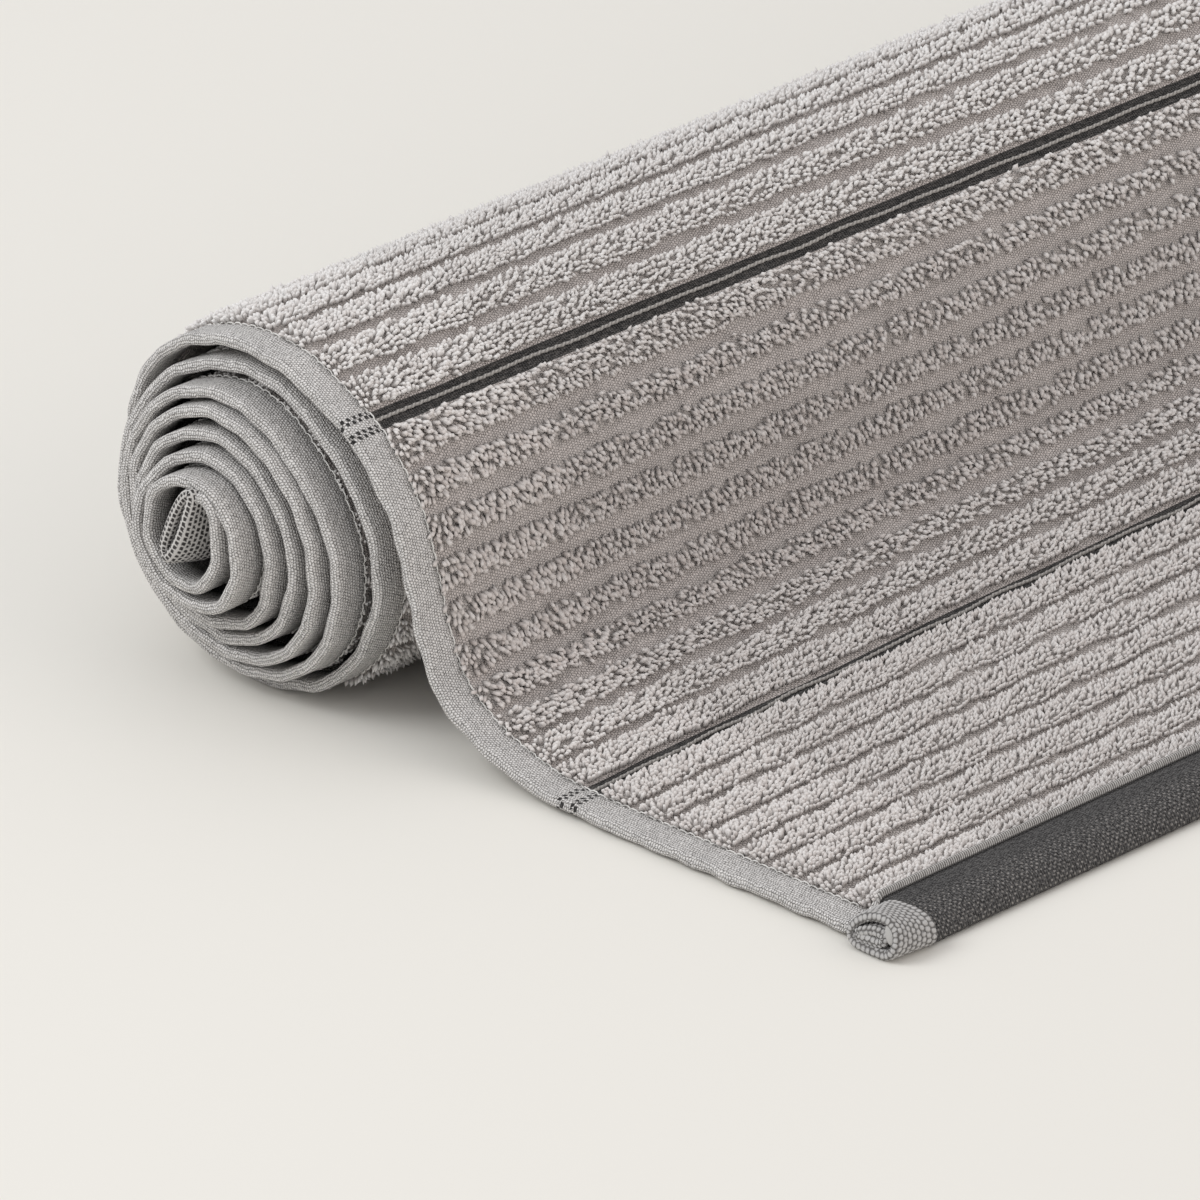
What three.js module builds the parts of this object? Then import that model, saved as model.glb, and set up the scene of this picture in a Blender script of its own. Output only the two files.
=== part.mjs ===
// A ribbed terry bath towel, rolled up tight across its width, with its last stretch hanging
// off the roll and lying flat to the end hem.
// Millimetres, +Z up. X runs along the roll, and the loose end lies toward -Y.
// The origin is under the middle of the whole towel, on the surface that it lies on.

import * as THREE from "three";
import { mergeVertices } from "three/addons/utils/BufferGeometryUtils.js";

// Driving sizes
const towelWidth = 700;
const clothHalf = 2.1; // half the thickness of the cloth, with the pile of both faces
const rollCentreUp = 39;
const rollSteps = 48; // steps round one turn
const joinGap = 0.3; // between the roll and the loose end that leaves it

// The roll, turn by turn from the core outward. Each row gives the distance of the middle of
// the cloth from the roll's centre at eight places, in the order in which the cloth winds:
// it comes down on the right, runs under to the left and goes back over the top. proud is how
// far that turn stands out of the near end, because the towel is wound a little askew.
const turns = [
  {
    right: 9.0, lowRight: 9.4, low: 11.0, lowLeft: 11.6,
    left: 12.6, upLeft: 13.9, top: 14.2, upRight: 14.8,
    proud: 18.9,
  },
  {
    right: 14.4, lowRight: 15.4, low: 15.2, lowLeft: 15.9,
    left: 17.0, upLeft: 17.6, top: 18.0, upRight: 18.1,
    proud: 18.1,
  },
  {
    right: 18.9, lowRight: 21.0, low: 20.8, lowLeft: 21.4,
    left: 22.4, upLeft: 22.4, top: 22.2, upRight: 21.9,
    proud: 12.4,
  },
  {
    right: 23.6, lowRight: 25.4, low: 25.0, lowLeft: 25.4,
    left: 26.6, upLeft: 27.0, top: 27.0, upRight: 26.7,
    proud: 9.8,
  },
  {
    right: 29.1, lowRight: 31.0, low: 28.9, lowLeft: 28.9,
    left: 29.9, upLeft: 31.0, top: 30.6, upRight: 29.6,
    proud: 9.0,
  },
  {
    right: 33.8, lowRight: 35.6, low: 33.0, lowLeft: 32.6,
    left: 33.8, upLeft: 35.4, top: 35.2, upRight: 35.6,
    proud: 6.4,
  },
  {
    right: 40.1, lowRight: 40.2, low: 37.7, lowLeft: 36.9,
    left: 38.2, upLeft: 41.0, top: 40.6, upRight: 41.6,
    proud: 0.0,
  },
];
const places = ["right", "lowRight", "low", "lowLeft", "left", "upLeft", "top", "upRight"];
const coreProud = 20; // how far the first end of the towel stands out of the near end
const lastPlace = (turns.length - 1) * places.length + places.indexOf("top");

// The middle of the loose end, seen from the near end: out is the distance from the roll's
// centre toward the loose side, up the height.
const drape = [
  { out: 0, up: 79.6 },
  { out: 6.5, up: 79.2 },
  { out: 12.9, up: 78.0 },
  { out: 23.3, up: 73.5 },
  { out: 32.9, up: 68.4 },
  { out: 39.9, up: 61.3 },
  { out: 46.7, up: 51.0 },
  { out: 50.4, up: 39.5 },
  { out: 53.9, up: 27.9 },
  { out: 58.8, up: 17.5 },
  { out: 69.7, up: 9.1 },
  { out: 84.9, up: 4.0 },
  { out: 98.0, up: 2.4 },
  { out: 120.0, up: 2.1 },
  { out: 150.0, up: 2.1 },
  { out: 181.0, up: 2.1 },
];
const drapeSteps = 60;

// The end hem, a fold padded by its own turnings: ahead is measured on from the last row of
// the drape, under and over are the heights of its two faces.
const endHem = [
  { ahead: 0.6, under: 0, over: 5.6 },
  { ahead: 2.2, under: 0, over: 7.9 },
  { ahead: 5.0, under: 0, over: 8.2 },
  { ahead: 9.0, under: 0, over: 6.6 },
  { ahead: 12.0, under: 0.1, over: 4.6 },
  { ahead: 13.4, under: 1.0, over: 2.8 },
];

// How the loose end changes along the roll: at is the distance from the near edge, pull is how
// much shorter it reaches there, plump scales the height of the end hem.
const alongRoll = [
  { at: 0, pull: 0, plump: 1.2 },
  { at: 14, pull: 0.6, plump: 1.06 },
  { at: 60, pull: 1.4, plump: 1.0 },
  { at: 150, pull: 2.6, plump: 0.96 },
  { at: 290, pull: 4.2, plump: 1.02 },
  { at: 430, pull: 4.8, plump: 0.97 },
  { at: 570, pull: 5.6, plump: 1.0 },
  { at: 686, pull: 6.4, plump: 1.04 },
  { at: 700, pull: 6.8, plump: 1.18 },
];

// The near and far edges of the loose end drift this much along the roll for each millimetre
// that it reaches out beyond its foot, by the same askew winding.
const edgeDrift = 0.027;
const footOut = 58.8;

// Smooth value at a place t between the entries of a list, passing through every entry
function along(values, t) {
  const last = values.length - 1;
  const i = Math.max(0, Math.min(Math.floor(t), last - 1));
  const f = t - i;
  const pick = (k) => values[Math.max(0, Math.min(k, last))];
  const [a, b, c, d] = [pick(i - 1), pick(i), pick(i + 1), pick(i + 2)];
  return b + 0.5 * f * (c - a + f * (2 * a - 5 * b + 4 * c - d + f * (3 * (b - c) + d - a)));
}

// Distance from the roll's centre, and how far the near end stands out, place by place
const windRadii = turns.flatMap((turn) => places.map((place) => turn[place]));
const windProud = turns.flatMap((turn, k) => {
  const next = k + 1 < turns.length ? turns[k + 1].proud : turn.proud;
  return places.map((place) => {
    if (place === "upLeft") return (turn.proud + next) / 2;
    return place === "top" || place === "upRight" ? next : turn.proud;
  });
});

// A point of the outer face of the wound cloth, step by step from the core, held up by the
// surface below so that the roll has a small flat spot
function woundPoint(step) {
  const t = (step / rollSteps) * places.length;
  const angle = (-step / rollSteps) * 2 * Math.PI;
  const reach = along(windRadii, t) + clothHalf;
  const out = reach * Math.cos(angle);
  const up = Math.max(0, rollCentreUp + reach * Math.sin(angle));
  return { out, up };
}

// A point of the inner edge of the first turn, round the towel's folded first end in the core
function corePoint(step) {
  const reach = windRadii[0] + clothHalf * (2 * (step / rollSteps) - 1);
  const angle = (-step / rollSteps) * 2 * Math.PI;
  return { out: reach * Math.cos(angle), up: rollCentreUp + reach * Math.sin(angle) };
}

// Closed mesh from a list of corner points and a list of triangles
function solid(points, triangles) {
  const geometry = new THREE.BufferGeometry();
  geometry.setAttribute("position", new THREE.Float32BufferAttribute(points.flat(), 3));
  geometry.setIndex(triangles.flat());
  return mergeVertices(geometry, 1e-4);
}

// The wound roll: a spiral terrace at each end, a step between each turn and the next, and
// the outer face between the two ends.
function woundRollGeometry() {
  const lastStep = Math.round((lastPlace / places.length) * rollSteps);
  const points = [];
  const triangles = [];
  const add = (p, x) => points.push([x, -p.out, p.up]) - 1;
  const proudAt = (step) => along(windProud, (step / rollSteps) * places.length);
  const inner = (step) => (step < rollSteps ? corePoint(step) : woundPoint(step - rollSteps));

  const rings = ["near", "far"].map((end) => {
    const edgeX = (step) => (end === "near" ? 0 : towelWidth) - proudAt(step);
    const inside = [];
    const outside = [];
    for (let step = 0; step <= lastStep; step += 1) {
      inside.push(add(inner(step), edgeX(step)));
      outside.push(add(woundPoint(step), edgeX(step)));
    }
    const middle = add({ out: 0, up: rollCentreUp }, (end === "near" ? 0 : towelWidth) - coreProud);
    return { end, inside, outside, middle };
  });

  for (const { end, inside, outside, middle } of rings) {
    const face = (...corners) => {
      const order = end === "near" ? corners : corners.reverse();
      for (let k = 1; k < order.length - 1; k += 1) triangles.push([order[0], order[k], order[k + 1]]);
    };
    for (let step = 0; step < lastStep; step += 1) {
      face(inside[step], inside[step + 1], outside[step + 1], outside[step]);
      if (step + rollSteps < lastStep) {
        face(outside[step], outside[step + 1], inside[step + 1 + rollSteps], inside[step + rollSteps]);
      }
    }
    for (let step = 0; step < rollSteps; step += 1) face(middle, inside[step + 1], inside[step]);
    face(middle, outside[0], inside[rollSteps]);
    face(middle, inside[0], outside[0]);
  }

  // The outer face of the last turn, and the step where the loose end leaves
  const [near, far] = rings;
  const first = lastStep - rollSteps;
  for (let step = first + 1; step < lastStep; step += 1) {
    const [a, b] = [near.outside[step], near.outside[step + 1]];
    const [c, d] = [far.outside[step], far.outside[step + 1]];
    triangles.push([a, b, d], [a, d, c]);
  }
  const [a, b] = [near.outside[first + 1], far.outside[first + 1]];
  const root = [near.outside[first], near.inside[lastStep], far.outside[first]];
  triangles.push([root[0], a, root[1]], [root[1], a, root[2]], [a, b, root[2]]);
  const [outerNear, outerFar] = [near.outside[lastStep], far.outside[lastStep]];
  const innerFar = far.inside[lastStep];
  triangles.push([root[1], root[2], outerNear], [root[2], innerFar, outerNear]);
  triangles.push([innerFar, outerFar, outerNear]);
  return solid(points, triangles);
}

// The loose end: the same section carried along the roll, from just past the step in the wound
// roll, down to its foot, out flat and round the end hem.
function looseEndGeometry() {
  const outs = drape.map((row) => row.out);
  const ups = drape.map((row) => row.up);
  const share = (at, column) => {
    const k = Math.max(1, alongRoll.findIndex((row) => row.at >= at));
    const f = (at - alongRoll[k - 1].at) / (alongRoll[k].at - alongRoll[k - 1].at);
    return alongRoll[k - 1][column] * (1 - f) + alongRoll[k][column] * f;
  };

  // One closed outline, seen from the near end, for the place at along the roll
  const outline = (at) => {
    const under = [];
    const over = [];
    for (let step = 0; step <= drapeSteps; step += 1) {
      const t = (step / drapeSteps) * (drape.length - 1);
      const middle = { out: along(outs, t), up: along(ups, t) };
      const forward = along(outs, t + 0.01) - along(outs, t - 0.01);
      const rising = step === 0 ? 0 : along(ups, t + 0.01) - along(ups, t - 0.01);
      const length = Math.hypot(forward, rising);
      const offset = { out: (-rising / length) * clothHalf, up: (forward / length) * clothHalf };
      const beyondFoot = Math.max(0, (middle.out - footOut) / (outs.at(-1) - footOut));
      const out = middle.out - share(at, "pull") * beyondFoot + (step === 0 ? joinGap : 0);
      under.push({ out: out - offset.out, up: Math.max(0, middle.up - offset.up) });
      over.push({ out: out + offset.out, up: middle.up + offset.up });
    }
    for (const row of endHem) {
      const out = outs.at(-1) - share(at, "pull") + row.ahead;
      under.push({ out, up: row.under });
      over.push({ out, up: Math.max(row.under + 1.2, row.over * share(at, "plump")) });
    }
    return [...under, ...over.reverse()];
  };

  const points = [];
  const triangles = [];
  for (const { at } of alongRoll) {
    for (const p of outline(at)) {
      points.push([at + edgeDrift * Math.max(0, p.out - footOut), -p.out, p.up]);
    }
  }
  const count = points.length / alongRoll.length;
  const half = count / 2;
  for (let k = 0; k + 1 < alongRoll.length; k += 1) {
    for (let i = 0; i < count; i += 1) {
      const j = (i + 1) % count;
      const [a, b, c, d] = [k * count + i, k * count + j, (k + 1) * count + i, (k + 1) * count + j];
      triangles.push([a, c, b], [b, c, d]);
    }
  }
  const lastRing = (alongRoll.length - 1) * count;
  for (let i = 0; i + 1 < half; i += 1) {
    const [a, b, c, d] = [i, i + 1, count - 1 - i, count - 2 - i];
    triangles.push([a, b, d], [a, d, c]);
    triangles.push([lastRing + a, lastRing + d, lastRing + b], [lastRing + a, lastRing + c, lastRing + d]);
  }
  return solid(points, triangles);
}

const terry = { color: 0xc8c4bf, roughness: 0.95, metalness: 0 };
const pieces = [
  ["wound_roll", woundRollGeometry()],
  ["loose_end", looseEndGeometry()],
];

// Set the origin under the middle of the whole towel
const reach = new THREE.Box3();
for (const [, geometry] of pieces) {
  geometry.computeBoundingBox();
  reach.union(geometry.boundingBox);
}
const middle = reach.getCenter(new THREE.Vector3());
const towel = new THREE.Group();
for (const [name, geometry] of pieces) {
  geometry.translate(-middle.x, -middle.y, -reach.min.z);
  const mesh = new THREE.Mesh(geometry, new THREE.MeshStandardMaterial(terry));
  mesh.name = name;
  towel.add(mesh);
}

export default towel;
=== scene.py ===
import math

import bpy
import numpy as np
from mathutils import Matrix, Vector


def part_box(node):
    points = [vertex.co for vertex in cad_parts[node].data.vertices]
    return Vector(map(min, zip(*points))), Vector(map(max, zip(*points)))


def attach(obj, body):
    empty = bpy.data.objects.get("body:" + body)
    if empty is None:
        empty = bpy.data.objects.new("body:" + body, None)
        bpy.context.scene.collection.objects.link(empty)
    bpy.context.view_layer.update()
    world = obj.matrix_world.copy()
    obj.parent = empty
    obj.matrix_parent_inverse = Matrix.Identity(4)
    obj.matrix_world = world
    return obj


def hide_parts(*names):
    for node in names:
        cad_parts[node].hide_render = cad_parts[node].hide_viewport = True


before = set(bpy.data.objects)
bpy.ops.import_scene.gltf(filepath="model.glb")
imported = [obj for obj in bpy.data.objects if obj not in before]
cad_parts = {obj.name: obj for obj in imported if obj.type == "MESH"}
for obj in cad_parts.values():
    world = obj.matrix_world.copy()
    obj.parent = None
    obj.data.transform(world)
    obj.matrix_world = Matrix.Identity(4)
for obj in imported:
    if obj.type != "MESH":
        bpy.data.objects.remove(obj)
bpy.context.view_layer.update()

mm = 0.001


# The towel lies on a plain pale floor. It is seen from in front of its near end, from the side
# on which the loose end lies, through a long lens.
flap_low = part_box("loose_end")[0]
near_x = flap_low.x
flap_reach = 194.4 * mm
hem_reach = 197.6 * mm
roll_y = flap_low.y + flap_reach
view_turn = math.radians(44.6)
view_rise = math.radians(25.6)
view_distance = 3.515
aim = Vector((near_x + 82.9 * mm, roll_y - 25.8 * mm, 0))
sight = Vector((
    math.cos(view_rise) * math.sin(view_turn),
    math.cos(view_rise) * math.cos(view_turn),
    -math.sin(view_rise),
))
camera_data = bpy.data.cameras.new("camera")
camera_data.lens = 475
camera_data.sensor_width = 36
camera_data.clip_end = 50
camera = bpy.data.objects.new("camera", camera_data)
camera.location = aim - sight * view_distance
camera.rotation_euler = sight.to_track_quat("-Z", "Y").to_euler()
bpy.context.scene.collection.objects.link(camera)
bpy.context.scene.camera = camera
bpy.context.scene.view_settings.view_transform = "Standard"


def linear(red, green, blue):
    """Linear colour from the 0 to 255 values of a screen colour."""
    def part(v):
        v /= 255
        return v / 12.92 if v <= 0.04045 else ((v + 0.055) / 1.055) ** 2.4
    return part(red), part(green), part(blue), 1.0


def new_material(name, roughness, sheen=0.0):
    """A node material with a plain Principled shader, and the parts that its nodes hang on."""
    material = bpy.data.materials.new(name)
    material.use_nodes = True
    tree = material.node_tree
    shader = tree.nodes["Principled BSDF"]
    shader.inputs["Roughness"].default_value = roughness
    shader.inputs["Sheen Weight"].default_value = sheen
    shader.inputs["Specular IOR Level"].default_value = 0.15
    return material, tree, shader


floor_size = 12
bpy.ops.object.select_all(action="DESELECT")
bpy.ops.mesh.primitive_plane_add(size=floor_size, location=(0, 0, 0))
floor = bpy.context.object
floor.name = "floor"
floor_material, _, floor_shader = new_material("floor_paper", 0.9)
floor_shader.inputs["Base Color"].default_value = linear(232, 229, 222)
floor.data.materials.append(floor_material)

world = bpy.data.worlds.new("studio")
world.use_nodes = True
world.node_tree.nodes["Background"].inputs["Color"].default_value = linear(240, 240, 242)
world.node_tree.nodes["Background"].inputs["Strength"].default_value = 0.82
bpy.context.scene.world = world


def soft_light(name, toward, distance, size, power, tint):
    """A square softbox that faces the towel from the given direction."""
    lamp = bpy.data.lights.new(name, "AREA")
    lamp.size = size
    lamp.energy = power
    lamp.color = tint
    holder = bpy.data.objects.new(name, lamp)
    direction = Vector(toward).normalized()
    holder.location = aim + direction * distance
    holder.rotation_euler = (-direction).to_track_quat("-Z", "Y").to_euler()
    bpy.context.scene.collection.objects.link(holder)


soft_light("window", (-0.75, 0.5, 0.9), 2.4, 1.3, 23.5, (0.97, 0.99, 1.0))
soft_light("warm_wall", (0.35, -1.0, 0.45), 2.4, 1.8, 11, (1.0, 0.9, 0.82))


# The towel: one length of ribbed cotton terry, loops on both faces, wound from one end hem.
# Its side edges are folded under into flat plain-woven hems, and dark yarn is woven in as two
# double lines and as the face of the end hem.
towel_width = 700 * mm
roll_centre_up = 39 * mm

# One row a turn, from the core outward: the distance of the middle of the cloth from the roll's
# centre on the right, low right, low, low left, left, upper left, top and upper right, and last
# how far that turn stands out of the near end.
turns = mm * np.array([
    [9.0, 9.4, 11.0, 11.6, 12.6, 13.9, 14.2, 14.8, 18.9],
    [14.4, 15.4, 15.2, 15.9, 17.0, 17.6, 18.0, 18.1, 18.1],
    [18.9, 21.0, 20.8, 21.4, 22.4, 22.4, 22.2, 21.9, 12.4],
    [23.6, 25.4, 25.0, 25.4, 26.6, 27.0, 27.0, 26.7, 9.8],
    [29.1, 31.0, 28.9, 28.9, 29.9, 31.0, 30.6, 29.6, 9.0],
    [33.8, 35.6, 33.0, 32.6, 33.8, 35.4, 35.2, 35.6, 6.4],
    [40.1, 40.2, 37.7, 36.9, 38.2, 41.0, 40.6, 41.6, 0.0],
])
places = 8
upper_left, top = 5, 6
core_proud = 20 * mm

# The first end of the towel, folded into the core, and the loose end, seen from the near end:
# out from the roll's centre toward the loose side, and up from the floor.
core_route = mm * np.array([
    [-4.2, 35.8], [-1.6, 41.6], [0.8, 47.0], [3.0, 51.0], [6.2, 52.0], [8.5, 48.6], [9.3, 44.0],
])
drape = mm * np.array([
    [6.5, 79.2], [12.9, 78.0], [23.3, 73.5], [32.9, 68.4], [39.9, 61.3], [46.7, 51.0],
    [50.4, 39.5], [53.9, 27.9], [58.8, 17.5], [69.7, 9.1], [84.9, 4.0], [98.0, 2.4],
    [120.0, 2.1], [150.0, 2.1], [181.0, 2.1], [197.6, 2.1],
])
foot_out = 58.8 * mm
edge_drift = 0.027


def along(values, t):
    """Smooth values between the entries of a list, through every entry."""
    values = np.asarray(values, float)
    i = np.clip(np.floor(t).astype(int), 0, len(values) - 2)
    f = t - i
    a, b, c, d = (values[np.clip(i + k, 0, len(values) - 1)] for k in (-1, 0, 1, 2))
    return b + 0.5 * f * (c - a + f * (2 * a - 5 * b + 4 * c - d + f * (3 * (b - c) + d - a)))


def smoothed(values, sigma):
    """Values with their small kinks rounded off, the two ends kept."""
    reach = int(3 * sigma)
    weights = np.exp(-0.5 * (np.arange(-reach, reach + 1) / sigma) ** 2)
    padded = np.concatenate([
        2 * values[0] - values[reach:0:-1], values, 2 * values[-1] - values[-2:-reach - 2:-1],
    ])
    return np.convolve(padded, weights / weights.sum(), "valid")


# The whole route of the cloth from its first end to its last, as out, up, and the shift of the
# cloth along the roll
fine_steps = 32
coarse_steps = 16
last_turn = (len(turns) - 1) * places
place_at = np.arange(0, last_turn + top + 1e-9, 1 / fine_steps)
radii = turns[:, :places].ravel()
proud = np.repeat(turns[:, places], places)
next_proud = np.append(turns[1:, places], turns[-1, places])
proud[upper_left::places] = (turns[:, places] + next_proud) / 2
proud[top::places] = next_proud
proud[top + 1::places] = next_proud
reach = along(radii, place_at)
turned = place_at * 2 * np.pi / places
wound = np.stack([
    reach * np.cos(turned), roll_centre_up - reach * np.sin(turned), -along(proud, place_at),
], 1)
core_at = np.arange(0, len(core_route) - 1e-9, 1 / coarse_steps)
core_ends = np.vstack([core_route, wound[0, :2]])
core = np.stack([
    along(core_ends[:, 0], core_at), along(core_ends[:, 1], core_at),
    np.linspace(-core_proud, wound[0, 2], len(core_at)),
], 1)
drape_ends = np.vstack([wound[-1, :2], drape])
drape_at = np.arange(1 / coarse_steps, len(drape_ends) - 1 + 1e-9, 1 / coarse_steps)
flap_outs = along(drape_ends[:, 0], drape_at)
flap = np.stack([
    flap_outs, along(drape_ends[:, 1], drape_at), edge_drift * np.maximum(0, flap_outs - foot_out),
], 1)
route = np.vstack([core[:-1], wound, flap])
route_step = 0.25 * mm
travelled = np.append(0, np.cumsum(np.hypot(*np.diff(route[:, :2], axis=0).T)))
route_at = np.arange(0, travelled[-1], route_step)
route = np.stack([smoothed(np.interp(route_at, travelled, c), 5) for c in route.T], 1)
heading = np.gradient(route[:, :2], axis=0)
heading /= np.hypot(*heading.T)[:, None]
towel_length = route_at[-1]
last_turn_from = np.interp(
    len(core) + len(wound) - places * fine_steps, np.arange(len(travelled)), travelled
)

# How much less far the loose end reaches, from the near edge along the roll: at the end hem, and
# at the double line nearest to it, where the cloth has been pulled askew
hem_pull_at = mm * np.array([0, 14, 60, 150, 290, 430, 570, 686, 700])
hem_pull = mm * np.array([0, 0.6, 1.4, 2.6, 4.2, 4.8, 5.6, 6.4, 6.8])
line_pull = 0.055
line_pull_width = 250 * mm
line_ahead = mm * np.array([99.0, 202.5])  # the double lines, measured back from the end


def wobble(x, seed, wave):
    """Gentle irregular drift between -1 and 1, the same each time for the same seed."""
    draw = np.random.default_rng(seed)
    total = 0
    for _ in range(4):
        total = total + np.sin(2 * np.pi * (x / (wave * draw.uniform(0.6, 1.7)) + draw.uniform()))
    return total / 2.6


def askew(s, w):
    """How far the cloth at s along and w across lies behind its place on the route."""
    ahead = towel_length - s
    at_hem = np.interp(w, hem_pull_at, hem_pull)
    at_line = line_pull * line_pull_width * np.tanh(w / line_pull_width)
    hem_share = np.interp(ahead, [14 * mm, line_ahead[0]], [1, 0])
    line_share = np.interp(ahead, [14 * mm, line_ahead[0], line_ahead[1]], [0, 1, 0])
    ripple = wobble(w + 1.7 * s, 3, 34 * mm) + wobble(w - 2.9 * s, 4, 21 * mm)
    free = np.interp(ahead, mm * np.array([18, 45, 90, 230, 330]), [0, 1.5, 1.0, 0.35, 0.1])
    away = np.interp(np.minimum(w, towel_width - w), mm * np.array([8, 40]), [0.1, 1])
    return at_hem * hem_share + at_line * line_share + 0.32 * mm * ripple * free * away


def spot(s, w, lift, nudge=0.0):
    """The point lift above the middle of the cloth, with the cloth's three directions there."""
    s, w, lift = np.broadcast_arrays(s, w, lift)
    at = np.clip((s - askew(s, w) + nudge) / route_step, 0, len(route) - 1.001)
    i = at.astype(int)
    f = (at - i)[..., None]
    here = route[i] * (1 - f) + route[i + 1] * f
    way = heading[i] * (1 - f) + heading[i + 1] * f
    way /= np.linalg.norm(way, axis=-1, keepdims=True)
    onward = np.stack([np.zeros_like(lift), -way[..., 0], way[..., 1]], -1)
    outward = np.stack([np.zeros_like(lift), way[..., 1], way[..., 0]], -1)
    point = np.stack([near_x + w + here[..., 2], roll_y - here[..., 0], here[..., 1]], -1)
    point = point + outward * lift[..., None]
    return point, onward, outward


# The ribs: bands of loops with bare weave between, in three stretches parted by the lines
weave_half = 0.75 * mm
side_hem_half = 1.4 * mm
end_hem = 17.0 * mm
first_hem = 15 * mm
line_half = 2.4 * mm
rib_pitch = 10.2 * mm
far_ribs = round((towel_length - first_hem - line_ahead[1]) / rib_pitch)
stretches = [
    (end_hem, line_ahead[0] - line_half, 8),
    (line_ahead[0] + line_half, line_ahead[1] - line_half, 10),
    (line_ahead[1] + line_half, towel_length - first_hem, far_ribs),
]
rib_centres = np.concatenate([
    low + (np.arange(count) + 0.5) * (high - low) / count for low, high, count in stretches
])
rib_centres = towel_length - rib_centres[::-1]


def slackness(s):
    """How slack the pile stands: 0 where the cloth hangs, 1 where it lies flat."""
    return np.interp(
        towel_length - s, mm * np.array([14, 99, 116, 138, 184, 196, 206, 250]),
        [1, 0.95, 0.75, 0.05, 0.05, 0.4, 0.75, 0.9],
    )


def half_width(s):
    """Half the width of the ribs at their roots."""
    return mm * (2.75 + 0.6 * slackness(s))


def rib_rise(share):
    """Rise of the rib's dense middle, by the share of the way from its centre line to its edge."""
    return np.clip(1 - np.abs(share / 1.12) ** 2.2, 0, 1) ** 0.6


# Places along the cloth where the mesh has a row
rows = [0.0, 0.4, 1.0, 2.0, 4.0, 6.5, 9.0, 11.5, 13.5]
rows = [r * mm for r in rows]
for centre in rib_centres:
    steps = [-1.0, -0.55, 0.0, 0.55, 1.0] if centre > last_turn_from else [-0.9, 0.0, 0.9]
    rows.extend(centre + half_width(centre) * np.array(steps))
    rows.append(centre - rib_pitch / 2)
for line in line_ahead:
    rows.extend(towel_length - line + mm * np.array([-2.2, -1.0, 0.0, 1.0, 2.2]))
hem_rows = mm * np.array([
    17.6, 17.1, 16.7, 16.3, 15.8, 15.3, 14.9, 14.6, 14.3, 12.0, 9.0, 6.0, 3.6, 2.0, 0.9, 0.3, 0.0,
])
rows = np.array(sorted(rows))
rows = rows[rows < towel_length - 18.0 * mm]
rows = rows[np.append(True, np.diff(rows) > 0.35 * mm)]
rows = np.append(rows, towel_length - hem_rows)
nearest_rib = rib_centres[np.abs(rows[:, None] - rib_centres[None, :]).argmin(1)]
rows_rise = rib_rise((rows - nearest_rib) / half_width(nearest_rib))

# Places across the cloth, from the near edge: the rounded fold of the side hem, its flat, the
# dip of its stitching, the first loops, and then wider steps
fold_turns = np.radians([0, 22, 45, 68, 90])
hem_across = mm * np.array([2.9, 5.2, 7.1, 8.1, 8.9])
near_across = mm * np.array([9.8, 12.5, 19, 28, 42, 62, 88, 120, 158, 202, 252, 306])
far_across = towel_width - mm * np.array([320, 260, 200, 140, 80, 35, 14, 9.8])
across = np.concatenate([hem_across, near_across, far_across, towel_width - hem_across[::-1]])
rim = np.minimum(across, towel_width - across)

# The end hem is a padded fold: heights of its two faces above the floor, measured back from its
# nose, with a ridge where the fold is sewn down. Near the side edges it is a slimmer tongue,
# drawn back inside the hem's open end.
end_ahead = hem_rows[::-1]
end_over = mm * np.array([
    1.3, 2.2, 3.3, 4.6, 5.8, 6.6, 7.0, 7.0, 6.6, 6.7, 7.6, 8.1, 8.1, 7.5, 6.2, 4.4, 3.2,
])
end_under = mm * np.array([1.3, 0.7, 0.2, 0, 0, 0, 0, 0, 0, 0, 0, 0, 0, 0, 0, 0, 0.5])
flap_mid = 2.1 * mm
tongue_over = 1.6 * mm
tongue_back = 3.2 * mm
tongue_in = 4 * mm


def face_lift(s, edge, outer, flat_half):
    """Lift of one face of the bare cloth above the middle of the cloth."""
    ahead = towel_length - s
    table = end_over - flap_mid if outer else flap_mid - end_under
    swollen = np.interp(ahead, end_ahead, table)
    slim = np.minimum(swollen, tongue_over if outer else 0.9 * mm)
    full = np.interp(edge, mm * np.array([7.1, 9.4]), [0, 1])
    swollen = slim * (1 - full) + swollen * full
    first = np.interp(s, mm * np.array([0, 0.4, 1.0, 2.0]), mm * np.array([0.3, 0.7, 0.9, 1.1]))
    lift = np.where(s < 2 * mm, first, flat_half)
    swollen = np.where(ahead < 17.0 * mm, swollen, np.maximum(swollen, flat_half))
    return np.where(ahead < 17.8 * mm, swollen, lift)


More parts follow.
